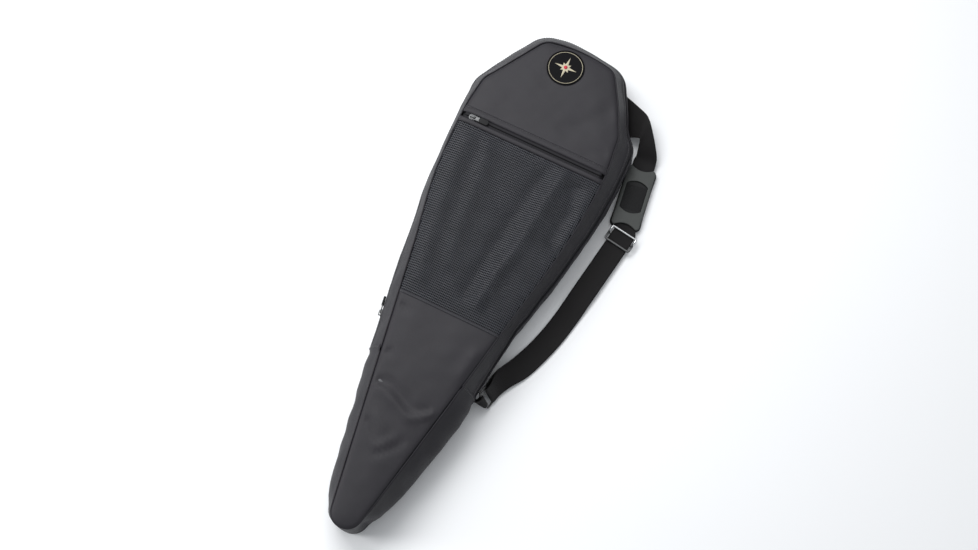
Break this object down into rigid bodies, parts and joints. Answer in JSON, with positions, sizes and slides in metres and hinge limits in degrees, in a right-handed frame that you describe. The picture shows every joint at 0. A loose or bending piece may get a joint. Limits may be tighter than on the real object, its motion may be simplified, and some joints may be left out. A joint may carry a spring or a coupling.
{
  "type": "teardrop carry case",
  "caption": "Long teardrop soft case with a zipped lift-up front, mesh pocket, round badge and a padded, adjustable shoulder strap along one side.",
  "frame": {"origin": "on the underside of the back panel, on the case's centre line, 430 mm from the tail end of the front panel", "axes": "+Y along the case from the tail to the wide head, +Z out of the front panel, +X towards the side that carries the shoulder strap"},
  "size_m": [0.3589, 0.8791, 0.0971],
  "materials": {
    "pack_cloth": "matt coated nylon",
    "lining": "matt lining cloth",
    "foam": "foam under lining cloth",
    "zip_tape": "woven tape",
    "zip_coil": "moulded coil",
    "pocket_mesh": "coated open grid",
    "webbing": "woven webbing",
    "nickel": "bright plate",
    "black_steel": "black gloss",
    "pull_rubber": "matt moulded",
    "pad_shell": "satin moulded",
    "patch_black": "woven badge",
    "patch_pale": "merrowed thread"
  },
  "bodies": {
    "case_back": {"back_panel": "pack_cloth", "back_foam": "foam", "back_gusset": "pack_cloth", "back_zip_tape": "zip_tape", "back_zip_coil": "zip_coil", "back_seam_binding": "lining", "tail_gusset": "pack_cloth", "tail_front_panel": "pack_cloth", "tail_foam": "foam", "strap_webbing": "webbing", "ring_tab": "webbing"},
    "lid": {"front_gusset": "pack_cloth", "front_zip_tape": "zip_tape", "front_zip_coil": "zip_coil", "lid_seam_binding": "lining", "lid_foam": "foam", "lid_backing": "lining", "lower_panel": "pack_cloth", "mesh_hem": "zip_tape", "mesh_panel": "pocket_mesh", "yoke_panel": "pack_cloth", "pocket_upper_tape": "zip_tape", "pocket_upper_coil": "zip_coil", "pocket_upper_welt": "pack_cloth", "pocket_lower_tape": "zip_tape", "pocket_lower_coil": "zip_coil", "pocket_lower_welt": "pack_cloth", "patch_rim": "patch_pale", "patch_disc": "patch_black", "patch_star": "patch_pale"},
    "main_slider": {"main_slider": "nickel"},
    "main_pull": {"main_pull_tab": "nickel", "main_pull_grip": "pull_rubber"},
    "pocket_slider": {"pocket_slider": "nickel"},
    "pocket_pull": {"pocket_pull_tab": "nickel", "pocket_pull_grip": "pull_rubber"},
    "strap_ring": {"strap_ring": "black_steel"},
    "adjuster": {"strap_adjuster": "nickel", "strap_sewn_end": "webbing"},
    "shoulder_pad": {"pad_base": "pull_rubber", "pad_shell": "pad_shell", "pad_window": "pull_rubber"}
  },
  "joints": [
    {"name": "lid_fold", "type": "hinge", "parent": "case_back", "child": "lid", "pos_m": [0, -0.155, 0.092], "axis": [1, 0, 0], "range_deg": [0, 135]},
    {"name": "main_zip_slide", "type": "slide", "parent": "case_back", "child": "main_slider", "axis": [-0.1754, 0.9845, 0], "range_m": [0, 0.12]},
    {"name": "main_pull_swing", "type": "hinge", "parent": "main_slider", "child": "main_pull", "pos_m": [-0.10439, -0.10226, 0.047], "axis": [0, 0, 1], "range_deg": [0, 160]},
    {"name": "pocket_zip_slide", "type": "slide", "parent": "lid", "child": "pocket_slider", "axis": [1, 0, 0], "range_m": [0, 0.218]},
    {"name": "pocket_pull_swing", "type": "hinge", "parent": "pocket_slider", "child": "pocket_pull", "pos_m": [-0.111, 0.246, 0.0946], "axis": [0, -1, 0], "range_deg": [0, 160]},
    {"name": "ring_swing", "type": "hinge", "parent": "case_back", "child": "strap_ring", "pos_m": [0.10481, -0.15358, 0.0228], "axis": [0.4498, -0.2199, -0.8656], "range_deg": [0, 5]},
    {"name": "adjuster_slide", "type": "slide", "parent": "case_back", "child": "adjuster", "axis": [-0.1478, -0.989, 0], "range_m": [0, 0.075]},
    {"name": "pad_slide", "type": "slide", "parent": "case_back", "child": "shoulder_pad", "axis": [-0.134, 0.991, 0], "range_m": [-0.003, 0.006]}
  ]
}
